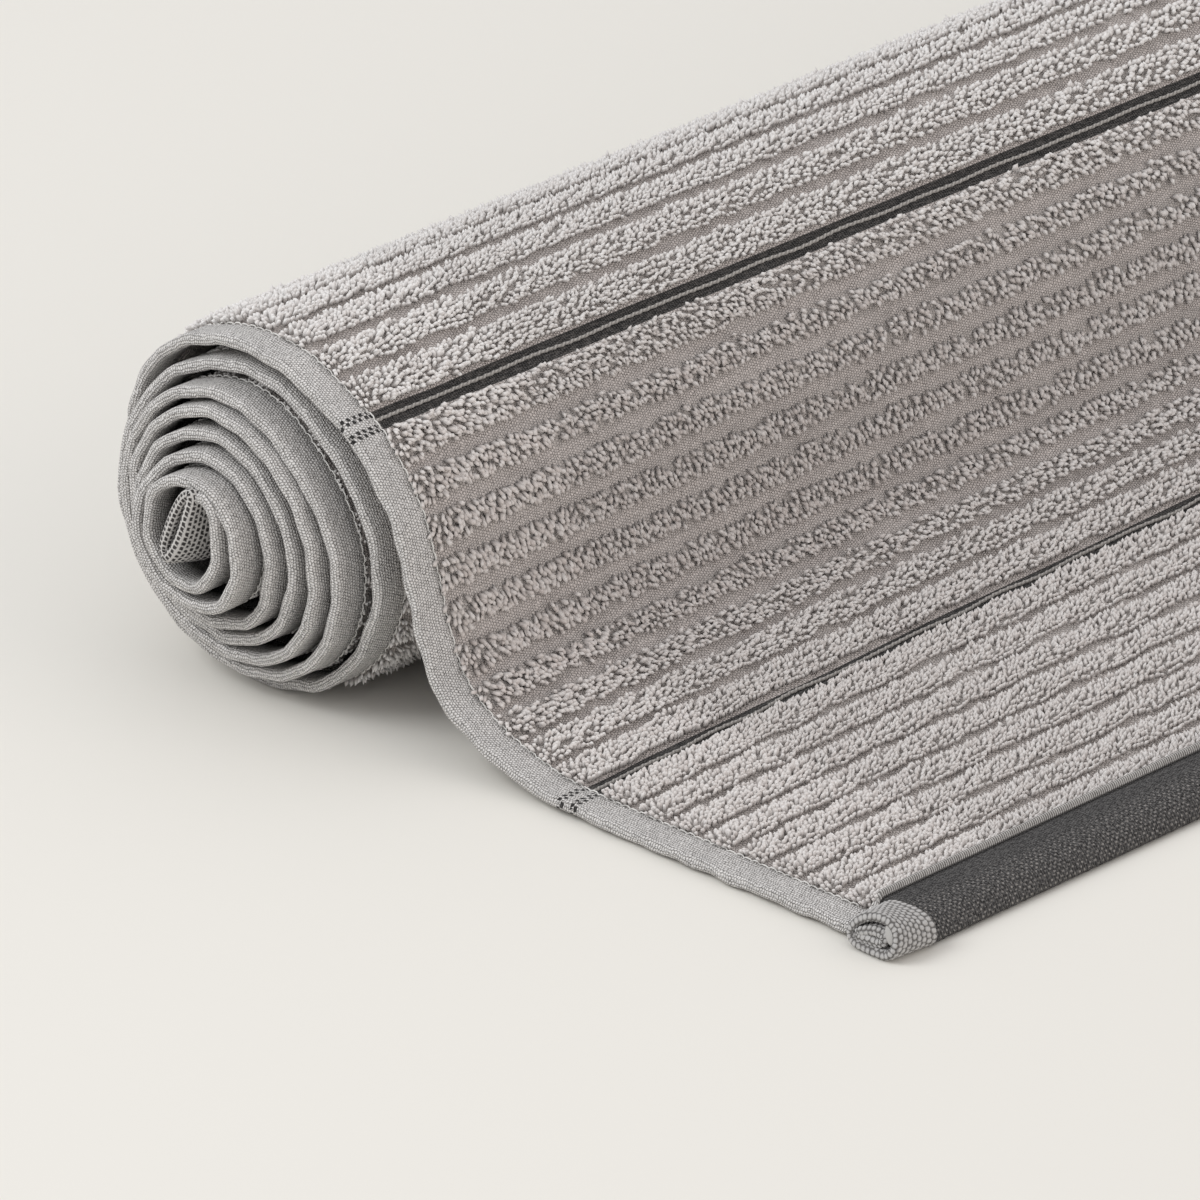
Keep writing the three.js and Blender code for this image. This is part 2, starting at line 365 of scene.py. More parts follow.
def cloth_columns(outer):
    """Across positions and lifts of one face, near edge to far edge, for every row."""
    s = rows[:, None]
    bare = face_lift(s, np.zeros(1), outer, side_hem_half)
    inside = (towel_length - rows > 17.7 * mm) & (rows > first_hem)
    radius = np.minimum(bare, 1.05 * mm)
    near_w = radius * (1 - np.cos(fold_turns))
    near_h = bare - radius + radius * np.sin(fold_turns)
    height = mm * (rows_rise * (0.5 + 0.65 * slackness(rows)))[:, None]
    height = height * (1 + 0.12 * wobble(across[None, :] + 37 * s, 5 + outer, 60 * mm))
    share = np.interp(rim, mm * np.array([9.1, 9.8, 12]), [0, 0.75, 1.0])
    dip = np.interp(rim, mm * np.array([7.1, 8.1, 8.9, 9.8]), [0, 0.5, 0.5, 0.0]) * mm
    hem_part = np.interp(rim, mm * np.array([8.9, 9.8]), [1, 0])
    hem_lift = face_lift(s, rim[None, :], outer, side_hem_half)
    flat = face_lift(s, rim[None, :], outer, weave_half)
    body = (hem_lift - dip) * hem_part + (flat + height * share) * (1 - hem_part)
    body = np.where(inside[:, None], body, flat * (1 - hem_part) + hem_lift * hem_part)
    body_w = np.repeat(across[None, :], len(rows), 0)
    columns_w = np.hstack([near_w, body_w, towel_width - near_w[:, ::-1]])
    columns_h = np.hstack([near_h, body, near_h[:, ::-1]])
    return columns_w, columns_h


def mesh_object(name, points, faces, material):
    """A new object in the scene from arrays of points and of faces with the same corner count."""
    mesh = bpy.data.meshes.new(name)
    count, corners = faces.shape
    mesh.vertices.add(len(points))
    mesh.vertices.foreach_set("co", np.ascontiguousarray(points, np.float32).ravel())
    mesh.loops.add(count * corners)
    mesh.loops.foreach_set("vertex_index", np.ascontiguousarray(faces, np.int32).ravel())
    mesh.polygons.add(count)
    mesh.polygons.foreach_set("loop_start", np.arange(0, count * corners, corners, dtype=np.int32))
    mesh.polygons.foreach_set("use_smooth", np.ones(count, bool))
    mesh.update(calc_edges=True)
    mesh.materials.append(material)
    made = bpy.data.objects.new(name, mesh)
    bpy.context.scene.collection.objects.link(made)
    return made


def add_values(made, name, values):
    """Store one number for each point of an object's mesh."""
    layer = made.data.attributes.new(name, "FLOAT", "POINT")
    layer.data.foreach_set("value", np.ascontiguousarray(values, np.float32).ravel())


outer_w, outer_h = cloth_columns(True)
inner_w, inner_h = cloth_columns(False)
ring_w = np.hstack([outer_w, inner_w[:, ::-1]])
ring_lift = np.hstack([outer_h, -inner_h[:, ::-1]])
ring_rim = np.minimum(ring_w, towel_width - ring_w)
ring_s = np.repeat(rows[:, None], ring_w.shape[1], 1)

# The hems cockle a little and bend between the ribs, their edges are not quite straight, and
# the corners are drawn back inside the open ends of the two end hems
hem_share = np.clip(1 - ring_rim / (14 * mm), 0, 1)
to_rib = np.abs(ring_s[:, :1] - nearest_rib[:, None]) / (rib_pitch / 2)
bend = 0.28 * mm * (np.clip(to_rib, 0, 1) ** 1.5 - 0.4)
ring_lift = ring_lift + hem_share * (0.25 * mm * wobble(ring_s, 11, 23 * mm) + bend)
ring_w = ring_w + hem_share * 0.25 * mm * wobble(ring_s + 3 * mm * (ring_lift > 0), 12, 13 * mm)
at_ends = np.clip(np.maximum(17 * mm - ring_s, ring_s - towel_length + 16 * mm) / (1.5 * mm), 0, 1)
inward = tongue_in * at_ends * np.clip(1 - ring_rim / (8 * mm), 0, 1)
ring_w = np.where(ring_w < towel_width / 2, ring_w + inward, ring_w - inward)
back = tongue_back * np.clip(1 - (towel_length - ring_s) / (9 * mm), 0, 1) * (ring_rim < 8.4 * mm)
ring_s = ring_s - back
cloth_points = spot(ring_s, ring_w, ring_lift)[0]
cloth_points[..., 2] = np.maximum(cloth_points[..., 2], 0.15 * mm)
ring = ring_w.shape[1]
row_count = len(rows)
index = np.arange(row_count * ring).reshape(row_count, ring)
following = np.roll(index, -1, 1)
walls = np.stack([index[:-1], following[:-1], following[1:], index[1:]], -1).reshape(-1, 4)
half_ring = ring // 2
k = np.arange(half_ring - 1)
opposite = ring - 1 - k
first_cap = np.stack([index[0, k], index[0, opposite], index[0, opposite - 1], index[0, k + 1]], -1)
last_cap = np.stack([index[-1, k], index[-1, k + 1], index[-1, opposite - 1], index[-1, opposite]], -1)
cloth_faces = np.vstack([walls, first_cap, last_cap])


def link(tree, source, target):
    tree.links.new(source, target)


def calc(tree, operation, *values):
    """A Math node on sockets or numbers, and its result."""
    made = tree.nodes.new("ShaderNodeMath")
    made.operation = operation
    for socket, value in zip(made.inputs, values):
        if isinstance(value, (int, float)):
            socket.default_value = value
        else:
            link(tree, value, socket)
    return made.outputs[0]


def product(tree, *values):
    """The product of several sockets or numbers."""
    total = values[0]
    for value in values[1:]:
        total = calc(tree, "MULTIPLY", total, value)
    return total


def ramp(tree, value, low, high, to_low=0.0, to_high=1.0):
    """A smooth step of a value from low to high."""
    made = tree.nodes.new("ShaderNodeMapRange")
    made.interpolation_type = "SMOOTHSTEP"
    for name, number in (("From Min", low), ("From Max", high), ("To Min", to_low), ("To Max", to_high)):
        made.inputs[name].default_value = number
    link(tree, value, made.inputs["Value"])
    return made.outputs["Result"]


def blend_colour(tree, share, a, b):
    """Mix of two colours, each a socket or a fixed colour."""
    made = tree.nodes.new("ShaderNodeMix")
    made.data_type = "RGBA"
    for socket, value in ((made.inputs[0], share), (made.inputs[6], a), (made.inputs[7], b)):
        if isinstance(value, tuple):
            socket.default_value = value
        else:
            link(tree, value, socket)
    return made.outputs[2]


def bricks(tree, a, b):
    """Distances, from 0 at the middle to 1 at the edge, in a unit brick pattern with rows along a."""
    odd = calc(tree, "MODULO", calc(tree, "FLOOR", b), 2.0)
    in_a = calc(tree, "FRACT", calc(tree, "ADD", a, calc(tree, "MULTIPLY", odd, 0.5)))
    in_b = calc(tree, "FRACT", b)
    return [calc(tree, "ABSOLUTE", calc(tree, "MULTIPLY_ADD", x, 2.0, -1.0)) for x in (in_a, in_b)]


def bump(tree, height, depth):
    """A bump of the given depth in metres for a height between 0 and 1."""
    made = tree.nodes.new("ShaderNodeBump")
    made.inputs["Strength"].default_value = 1.0
    made.inputs["Distance"].default_value = depth
    link(tree, height, made.inputs["Height"])
    return made.outputs["Normal"]


def attribute(tree, name):
    made = tree.nodes.new("ShaderNodeAttribute")
    made.attribute_name = name
    return made.outputs["Fac"]


def cloth_map(tree):
    """The place on a piece's own weave map, as one vector, and its parts across and along."""
    uv = tree.nodes.new("ShaderNodeUVMap")
    uv.uv_map = "weave"
    parts = tree.nodes.new("ShaderNodeSeparateXYZ")
    link(tree, uv.outputs[0], parts.inputs[0])
    return uv.outputs[0], parts.outputs[0], parts.outputs[1]


def joined(tree, a, b):
    """A vector with two values as its first parts."""
    made = tree.nodes.new("ShaderNodeCombineXYZ")
    link(tree, a, made.inputs[0])
    link(tree, b, made.inputs[1])
    return made.outputs[0]


def noise(tree, place, scale, detail):
    """Smooth random values over a place vector."""
    made = tree.nodes.new("ShaderNodeTexNoise")
    made.inputs["Scale"].default_value = scale
    made.inputs["Detail"].default_value = detail
    link(tree, place, made.inputs["Vector"])
    return made.outputs["Fac"]


weave_cell = 0.7 * mm
grey_weave = linear(232, 229, 226)
ground_weave = linear(222, 213, 208)
ground_weave_deep = linear(156, 147, 142)
grey_weave_deep = linear(104, 99, 95)
deep_shade = linear(78, 75, 72)
grey_pile_deep = linear(194, 187, 182)
dark_yarn = linear(44, 42, 41)
dark_yarn_light = linear(92, 88, 85)
charcoal = linear(87, 85, 84)
charcoal_deep = linear(52, 50, 50)
charcoal_light = linear(150, 146, 142)
cloth_material, tree, shader = new_material("ribbed_terry", 0.92, 0.15)
on_cloth, u, v = cloth_map(tree)
rim_value = attribute(tree, "rim")
ahead_value = calc(tree, "SUBTRACT", towel_length, v)
in_side_hem = ramp(tree, rim_value, 8.6 * mm, 9.2 * mm, 1, 0)
drift = calc(tree, "MULTIPLY_ADD", noise(tree, on_cloth, 480, 2), 1.5, -0.75)
u_cells = calc(tree, "ADD", calc(tree, "MULTIPLY", u, 1 / weave_cell), drift)
v_cells = calc(tree, "ADD", calc(tree, "MULTIPLY", v, 1 / weave_cell), drift)
in_u, in_v = bricks(tree, v_cells, u_cells)
weave_high = calc(tree, "SUBTRACT", 1.0, calc(tree, "MULTIPLY", in_u, in_u))
weave_high = calc(tree, "SUBTRACT", weave_high, product(tree, in_v, in_v, 0.8))
pile_part = attribute(tree, "pile")
patches = noise(tree, on_cloth, 90, 3)
uneven = calc(tree, "MULTIPLY_ADD", noise(tree, on_cloth, 900, 1), 1.4, -0.7)
weave_high = calc(tree, "ADD", weave_high, uneven)
weave_tone = ramp(tree, weave_high, -0.75, 0.75)
weave_light = blend_colour(tree, in_side_hem, ground_weave, grey_weave)
weave_dark = blend_colour(tree, in_side_hem, ground_weave_deep, grey_weave_deep)
weave_colour = blend_colour(tree, weave_tone, weave_dark, weave_light)
# Painted shade: under the loops the cloth turns a plain darker grey, the shade deep in the pile.
colour = blend_colour(tree, pile_part, weave_colour, grey_pile_deep)
# Painted shade: inside the roll the cloth darkens toward deep_shade between the turns.
colour = blend_colour(tree, attribute(tree, "painted_gap_shade"), colour, deep_shade)
high = calc(tree, "MULTIPLY", weave_high, 0.7)

# The double lines: two dark bars of fine strands, broken into dashes where they cross the hem
line_bar = 1.9 * mm
dash_pitch = 1.8 * mm
dash_row = 1.05 * mm
drawn_out = joined(tree, calc(tree, "MULTIPLY", u, 420.0), calc(tree, "MULTIPLY", v, 2600.0))
strands = noise(tree, drawn_out, 1, 2)
strand_light = ramp(tree, strands, 0.44, 0.64)
strand_colour = blend_colour(tree, strand_light, dark_yarn, dark_yarn_light)
for line in line_ahead:
    from_line = calc(tree, "SUBTRACT", ahead_value, float(line))
    off_line = calc(tree, "ABSOLUTE", from_line)
    band = ramp(tree, off_line, line_bar + 0.4 * mm, line_bar + 0.6 * mm, 1, 0)
    band = calc(tree, "MULTIPLY", band, calc(tree, "SUBTRACT", 1.0, in_side_hem))
    slant = calc(tree, "MULTIPLY_ADD", calc(tree, "MINIMUM", from_line, 0.0), 0.5, u)
    in_dash, in_row = bricks(
        tree, calc(tree, "MULTIPLY_ADD", slant, 1 / dash_pitch, calc(tree, "MULTIPLY", drift, 0.2)),
        calc(tree, "MULTIPLY_ADD", off_line, 1 / dash_row, 0.2),
    )
    row = calc(tree, "ABSOLUTE", calc(tree, "SUBTRACT", off_line, line_bar))
    dash = product(
        tree, ramp(tree, in_dash, 0.42, 0.6, 1, 0), ramp(tree, in_row, 0.75, 1.0, 1, 0),
        ramp(tree, row, 1.0 * mm, 1.1 * mm, 1, 0), in_side_hem,
    )
    colour = blend_colour(tree, band, colour, strand_colour)
    colour = blend_colour(tree, dash, colour, dark_yarn)
    high = calc(tree, "ADD", high, calc(tree, "MULTIPLY", band, strands))

# The end hem: charcoal below its ridge, with rows of lighter flecks toward its lower edge and a painted
# shadow line just under the ridge
fleck_pitch = 1.5 * mm
fleck_row = 1.1 * mm
piping_rib = 0.62 * mm
down_hem = calc(tree, "SUBTRACT", v, attribute(tree, "lift"))
mottle = noise(tree, joined(tree, u, down_hem), 1050, 2)
in_fleck, in_fleck_row = bricks(
    tree, calc(tree, "MULTIPLY_ADD", u, 1 / fleck_pitch, calc(tree, "MULTIPLY", drift, 0.3)),
    calc(tree, "MULTIPLY_ADD", down_hem, 1 / fleck_row, calc(tree, "MULTIPLY", drift, 0.2)),
)
fleck_rows = product(
    tree, ramp(tree, in_fleck_row, 0.35, 0.75, 1, 0), ramp(tree, in_fleck, 0.25, 0.55, 1, 0),
    ramp(tree, mottle, 0.36, 0.56), ramp(tree, ahead_value, 5.5 * mm, 10.0 * mm, 1.0, 0.08),
)
band_colour = blend_colour(tree, ramp(tree, mottle, 0.38, 0.62), charcoal_deep, charcoal)
band_colour = blend_colour(tree, fleck_rows, band_colour, charcoal_light)
in_hem_body = ramp(tree, rim_value, 8.3 * mm, 8.7 * mm)
in_band = calc(tree, "MULTIPLY", ramp(tree, ahead_value, 14.6 * mm, 14.75 * mm, 1, 0), in_hem_body)
# Painted shadow: the charcoal turns near black in a thin line just under the overhanging piping.
painted_shadow_under_piping = ramp(tree, ahead_value, 13.7 * mm, 14.3 * mm, 0, 0.8)
band_colour = blend_colour(tree, painted_shadow_under_piping, band_colour, linear(34, 32, 31))
piping = product(
    tree, ramp(tree, ahead_value, 14.5 * mm, 14.7 * mm),
    ramp(tree, ahead_value, 15.7 * mm, 16.1 * mm, 1, 0), in_hem_body,
)
# Painted shade: behind the piping the cloth is coloured dark grey, fading out toward the first rib, as
# the shaded valley between them.
painted_valley_shade = product(
    tree, ramp(tree, ahead_value, 15.7 * mm, 16.1 * mm),
    ramp(tree, ahead_value, 17.3 * mm, 17.8 * mm, 0.75, 0), in_hem_body,
)
across_ribs = calc(tree, "MULTIPLY", u, 2 * math.pi / piping_rib)
fine_ribs = ramp(tree, calc(tree, "ADD", calc(tree, "COSINE", across_ribs), uneven), -1.2, 0.6)
piping_colour = blend_colour(tree, fine_ribs, linear(112, 108, 105), linear(192, 189, 185))
colour = blend_colour(tree, piping, colour, piping_colour)
colour = blend_colour(tree, painted_valley_shade, colour, linear(112, 107, 104))
colour = blend_colour(tree, in_band, colour, band_colour)
high = blend_colour(tree, piping, high, calc(tree, "MULTIPLY", fine_ribs, 0.6))
high = calc(tree, "ADD", high, product(tree, in_band, mottle, 1.5))
shade = ramp(tree, patches, 0.25, 0.75, 0.93, 1.05)
tinted = tree.nodes.new("ShaderNodeMix")
tinted.data_type = "RGBA"
tinted.blend_type = "MULTIPLY"
tinted.inputs[0].default_value = 1.0
link(tree, colour, tinted.inputs[6])
link(tree, shade, tinted.inputs[7])
link(tree, tinted.outputs[2], shader.inputs["Base Color"])
link(tree, bump(tree, high, 0.5 * mm), shader.inputs["Normal"])

towel = mesh_object("towel", cloth_points.reshape(-1, 3), cloth_faces, cloth_material)
flat_around = np.hypot(np.diff(ring_w, axis=1), np.diff(ring_lift, axis=1))
closing = np.hypot(ring_w[:, :1] - ring_w[:, -1:], ring_lift[:, :1] - ring_lift[:, -1:])
around = np.hstack([np.zeros((row_count, 1)), np.cumsum(np.hstack([flat_around, closing]), 1)])
around = np.repeat(around[row_count // 2][None, :], row_count, 0)
uv_layer = towel.data.uv_layers.new(name="weave")
corner_u = np.stack([around[:-1, :-1], around[:-1, 1:], around[1:, 1:], around[1:, :-1]], -1)
corner_v = np.stack([ring_s[:-1], ring_s[:-1], ring_s[1:], ring_s[1:]], -1)
wall_uv = np.stack([corner_u, corner_v], -1).reshape(-1, 2)
cap_uv = np.zeros((4 * 2 * (half_ring - 1), 2))
cap_uv[:, 0] = np.concatenate([
    ring_w[0][first_cap - index[0, 0]].ravel(), ring_w[-1][last_cap - index[-1, 0]].ravel(),
])
cap_uv[4 * (half_ring - 1):, 1] = towel_length
uv_layer.data.foreach_set("uv", np.vstack([wall_uv, cap_uv]).astype(np.float32).ravel())
add_values(towel, "rim", ring_rim)
ring_pile = np.repeat(rows_rise[:, None], ring, 1) * (ring_rim > 9.4 * mm)
ring_pile = ring_pile * ((towel_length - ring_s > end_hem) & (ring_s > first_hem))
add_values(towel, "pile", np.clip(ring_pile * 1.6, 0, 1))
# Painted shade between the turns of the roll: both faces darken with their distance in from the side
# edge, on the inner turns only.
painted_gap_shade = np.where(
    ring_lift < 0,
    np.interp(ring_rim, mm * np.array([1.2, 2.4, 4.0, 7.0]), [0, 0.12, 0.4, 1]),
    np.interp(ring_rim, mm * np.array([1.2, 2.6, 8.4, 12.5]), [0, 0.2, 0.3, 1]),
) * np.interp(ring_s, [last_turn_from - 40 * mm, last_turn_from - 25 * mm], [1, 0])
add_values(towel, "painted_gap_shade", painted_gap_shade)
add_values(towel, "lift", ring_lift)
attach(towel, "root")
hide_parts("wound_roll", "loose_end")


# The loops: each is one arch of soft cotton yarn that stands out of the weave and leans with its
# neighbours. They fill every rib that shows, closest where the cloth is seen from near.
loop_draw = np.random.default_rng(20)
place_step = np.interp(
    len(core) + fine_steps * np.arange(len(radii)), np.arange(len(travelled)), travelled
)
half_turn = place_step[last_turn + 4] - place_step[last_turn]
seen_from = place_step[last_turn] + 4.7 * half_turn / 4
under_from, under_to = place_step[last_turn - 2], place_step[last_turn + 1] + 12 * mm
hidden_gap = 2.15 * mm
ridge_back = 16.3 * mm


def rib_loops(centre, from_w, to_w, gap_at, gap_is):
    """Jittered roots of the loops of one rib: along, across, the spacing, and the rib's centre."""
    half = half_width(centre)
    low, high = centre - half, centre + half
    for line in towel_length - line_ahead:
        if 0 < low - line < rib_pitch / 2:
            low = line + line_half + 0.55 * mm
        if 0 < line - high < rib_pitch / 2:
            high = line - line_half - 0.55 * mm
    if centre == rib_centres[-1]:
        high = towel_length - ridge_back
    w = from_w
    found = []
    coarser = 1.14 - 0.14 * slackness(centre)
    while w < to_w:
        gap = np.interp(w, gap_at, gap_is)
        gap = max(gap, min(gap * coarser, 1.32 * mm))
        count = max(3, round((high - low) / ((1.15 - 0.2 * slackness(centre)) * gap)))
        share = (np.arange(count) + 0.5) / count
        ragged = np.maximum(np.clip(4 * share * (1 - share), 0.3, 1), 1 - slackness(centre))
        share = share + loop_draw.uniform(-0.4, 0.4, count) / count * ragged
        across_it = w + loop_draw.uniform(-0.4, 0.4, count) * gap
        wider = 1 + 0.4 * (1 - slackness(centre)) * np.clip(1 - (w - from_w) / (9 * mm), 0, 1)
        along_it = (low + high) / 2 + (share - 0.5) * (high - low) * wider
        found.append(np.stack([along_it, across_it, np.full(count, gap), 2 * share - 1], 1))
        w += gap
    return np.vstack(found)


first_loop = 9.5 * mm
rim_from, rim_to = first_loop, towel_width - first_loop
near_gaps = mm * np.array([110, 210, 330, 360]), mm * np.array([0.94, 1.1, 1.35, 2.2])
roots = []
for centre in rib_centres:
    if centre > seen_from:
        spans = [(rim_from, rim_to, *near_gaps)]
    elif under_from < centre < under_to:
        spans = [(rim_from, 60 * mm, [0], [1.1 * mm]), (60 * mm, rim_to, [0], [hidden_gap])]
    elif centre > under_from:
        spans = [(rim_from, rim_to, [0], [hidden_gap])]
    else:
        spans = [(rim_from, 12.8 * mm, [0], [1.2 * mm])]
    roots.extend(rib_loops(centre, *span) for span in spans)
loop_s, loop_w, loop_gap, off = np.vstack(roots).T
thin = wobble(loop_w + 3.1 * loop_s, 31, 6 * mm) + wobble(loop_w - 5.3 * loop_s, 32, 4 * mm)
fluff = slackness(loop_s)
kept = (thin > -1.9 - 1.2 * fluff) | (loop_draw.uniform(size=len(thin)) > 0.6)
kept &= loop_draw.uniform(size=len(thin)) > 0.3 * (1 - fluff) * np.abs(off) ** 2
loop_s, loop_w, loop_gap, thin, off, fluff = (
    values[kept] for values in (loop_s, loop_w, loop_gap, thin, off, fluff)
)
loop_rim = np.minimum(loop_w, towel_width - loop_w)
hang = 1 - fluff
beside_line = np.abs(np.abs(towel_length - loop_s[:, None] - line_ahead[None, :]).min(1) - line_half)
beside_line = np.clip(1 - beside_line / (1.6 * mm), 0, 1)

# Pile length and lean: upright and full where the cloth lies slack, flat on the floor or on top of
# the roll, drooping where it hangs, pressed thin inside the roll
free = np.interp(loop_s, [last_turn_from - 20 * mm, last_turn_from], [0.45, 1])
long = mm * (3.05 + 0.2 * fluff) * free * loop_draw.uniform(0.9, 1.1, len(loop_s))
long = long * (1 + 0.07 * thin) * np.where(loop_draw.uniform(size=len(thin)) < 0.012, 1.25, 1)
long = long * (1 - (0.1 + 0.12 * fluff) * np.abs(off) ** 3)
meander = 0.3 * wobble(loop_w + 5.1 * loop_s, 35, 17 * mm) * fluff - 1.1 * hang
puffed = 0.3 * off * wobble(loop_w + 7.3 * loop_s, 36, 11 * mm) * fluff
on_ridge = np.interp(towel_length - loop_s, end_ahead, end_over) - flap_mid - 0.9 * mm
root_lift = np.maximum(mm * (0.5 + 0.3 * hang), on_ridge * (towel_length - loop_s < 17.8 * mm))
root, onward, outward = spot(loop_s + mm * (meander + puffed), loop_w, root_lift)
across_way = np.zeros_like(onward)
across_way[:, 0] = 1
steep = np.clip(1 - np.abs(outward[:, 2]), 0, 1)
shared = 1.3 * wobble(loop_w + 2.3 * loop_s, 33, 7 * mm), 1.3 * wobble(loop_w - 3.7 * loop_s, 34, 8 * mm)
loose = 0.07 + 0.2 * hang
side_of_line = np.sign(off) * beside_line
lean_on = 0.26 * off * fluff - 0.4 * side_of_line + 0.6 * hang
lean_on = lean_on + loose * (shared[0] + loop_draw.normal(0, 1, len(loop_s)))
lean_across = loose * (1.4 * shared[1] + loop_draw.normal(0, 1, len(loop_s))) + 0.1
to_hem = np.clip(1 - (loop_rim - first_loop) / (2.6 * mm), 0, 1)
lean_across = lean_across - to_hem * np.where(loop_w < towel_width / 2, 0.7, -0.7)
grow = outward + onward * lean_on[:, None] + across_way * lean_across[:, None]
grow[:, 2] -= 0.45 * steep
grow /= np.linalg.norm(grow, axis=1, keepdims=True)

# Each loop bends over near its tip: outward from the middle of its rib, and down where it hangs
flop_on = 0.7 * off * fluff + 0.5 * hang + loop_draw.normal(0, 0.35, len(loop_s)) - 1.2 * side_of_line
flop = onward * flop_on[:, None]
flop = flop + across_way * (2 * lean_across + loop_draw.normal(0, 0.4, len(loop_s)))[:, None]
flop[:, 2] -= 1.2 * steep
flop -= grow * np.sum(flop * grow, 1, keepdims=True)
flop /= np.maximum(np.linalg.norm(flop, axis=1, keepdims=True), 0.2)
side = np.cross(grow, flop)
side /= np.maximum(np.linalg.norm(side, axis=1, keepdims=True), 1e-6)
flop *= (0.3 + 0.35 * hang)[:, None]
thick = (0.9 - 0.15 * hang)[:, None]
wide = ((0.54 + 0.04 * hang) * loop_gap * loop_draw.uniform(0.9, 1.12, len(loop_s)))[:, None]
long = long[:, None]


def loop_ring(up, over, spread, sides):
    """Points around each loop, a share of its length up and bent over by another share."""
    middle = root + grow * long * up + flop * long * over
    way = grow * up + flop * over * 1.8
    way = way / np.linalg.norm(way, axis=1, keepdims=True)
    other = thick * np.cross(way, side)
    turn = np.arange(sides) / sides * 2 * np.pi
    return [middle + (side * math.cos(a) + other * math.sin(a)) * wide * spread for a in turn]


# Three makes of loop: beside the near edge with a rounded tip, and two plainer ones beyond
fine_to = 48 * mm
plain_from = 330 * mm
fine = (loop_w < fine_to) & (loop_s > seen_from)
far = (loop_w > plain_from) | (loop_s < seen_from)
middling = ~fine & ~far
tip = root + grow * long * 0.93 + flop * long * 0.5
fine_points = np.stack(
    [root] + loop_ring(0.45, 0.05, 0.9, 4) + loop_ring(0.78, 0.26, 1.0, 4) + [tip], 1
)[fine]
fine_faces = [[0, 1 + (k + 1) % 4, 1 + k] for k in range(4)]
for k in range(4):
    m = (k + 1) % 4
    fine_faces += [[1 + k, 1 + m, 5 + m], [1 + k, 5 + m, 5 + k], [5 + k, 5 + m, 9]]
middle_points = np.stack([root] + loop_ring(0.68, 0.16, 1.0, 4) + [tip], 1)[middling]
middle_faces = [f for k in range(4) for f in ([0, 1 + (k + 1) % 4, 1 + k], [1 + k, 1 + (k + 1) % 4, 5])]
far_points = np.stack([root] + loop_ring(0.66, 0.16, 1.0, 3) + [tip], 1)[far]
far_faces = [f for k in range(3) for f in ([0, 1 + (k + 1) % 3, 1 + k], [1 + k, 1 + (k + 1) % 3, 4])]

pile_material, tree, shader = new_material("cotton_loops", 0.9, 0.2)
# The loops' colour holds painted shade: each loop darkens from its tip toward its root, and loops with a
# low shade value take the darker, warmer tone.
tint = blend_colour(tree, attribute(tree, "shade"), linear(206, 197, 192), linear(240, 238, 236))
painted_root_shade = blend_colour(tree, attribute(tree, "shade"), linear(104, 97, 93), linear(214, 210, 207))
tint = blend_colour(tree, attribute(tree, "depth"), painted_root_shade, tint)
link(tree, tint, shader.inputs["Base Color"])
# Each loop's shade value: a random tone, lowered where the cloth hangs down the slope (painted shade),
# raised on hanging loops far across the cloth, and lowered on the flat part before the first double line
# (painted shade).
shade = 0.35 * loop_draw.uniform(0, 1, len(loop_s)) + 0.65 * fluff
shade = shade + 0.3 * hang * np.interp(loop_w, mm * np.array([120, 300]), [0, 1])
shade = shade - 0.33 * np.interp(towel_length - loop_s, mm * np.array([99, 130]), [1, 0])
loop_pieces = []


def pile_pieces(points, shades, faces, depths, batch):
    """Mesh objects of the given loops, a batch to each."""
    clear = points[..., 2].min(1) > 0.05 * mm
    points, shades = points[clear], shades[clear]
    faces = np.array(faces)
    for start in range(0, len(points), batch):
        chosen = points[start:start + batch]
        count, corners = chosen.shape[:2]
        all_faces = (faces[None] + corners * np.arange(count)[:, None, None]).reshape(-1, 3)
        name = f"pile_{len(loop_pieces) + 1}"
        piece = mesh_object(name, chosen.reshape(-1, 3), all_faces, pile_material)
        add_values(piece, "shade", np.repeat(shades[start:start + batch], corners))
        add_values(piece, "depth", np.tile(depths, count))
        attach(piece, "root")
        loop_pieces.append(piece)


pile_pieces(fine_points, shade[fine], fine_faces, [0] + [0.6] * 4 + [1] * 5, 12000)
pile_pieces(middle_points, shade[middling], middle_faces, [0] + [0.8] * 4 + [1], 24000)
pile_pieces(far_points, shade[far], far_faces, [0] + [0.8] * 3 + [1], 32000)


# The light cord between the two bars of each double line: two plies of thicker yarn twisted
# together, woven in on the outer face only.
cord_radius = 0.42 * mm
cord_twist = 2.4 * mm
cord_material, tree, shader = new_material("light_cord", 0.85, 0.2)
# Painted shade: the cord is light along its two plies and dark in the grooves between them.
tint = blend_colour(tree, attribute(tree, "shade"), linear(96, 92, 89), linear(178, 174, 169))
link(tree, tint, shader.inputs["Base Color"])


def tube_faces(rings, around):
    """Numbers of a tube's points by ring, the next point round from each, and its triangles."""
    numbers = np.arange(rings * around).reshape(rings, around)
    after = np.roll(numbers, -1, 1)
    quads = np.stack([numbers[:-1], after[:-1], after[1:], numbers[1:]], -1).reshape(-1, 4)
    return numbers, after, np.vstack([quads[:, [0, 1, 2]], quads[:, [0, 2, 3]]])


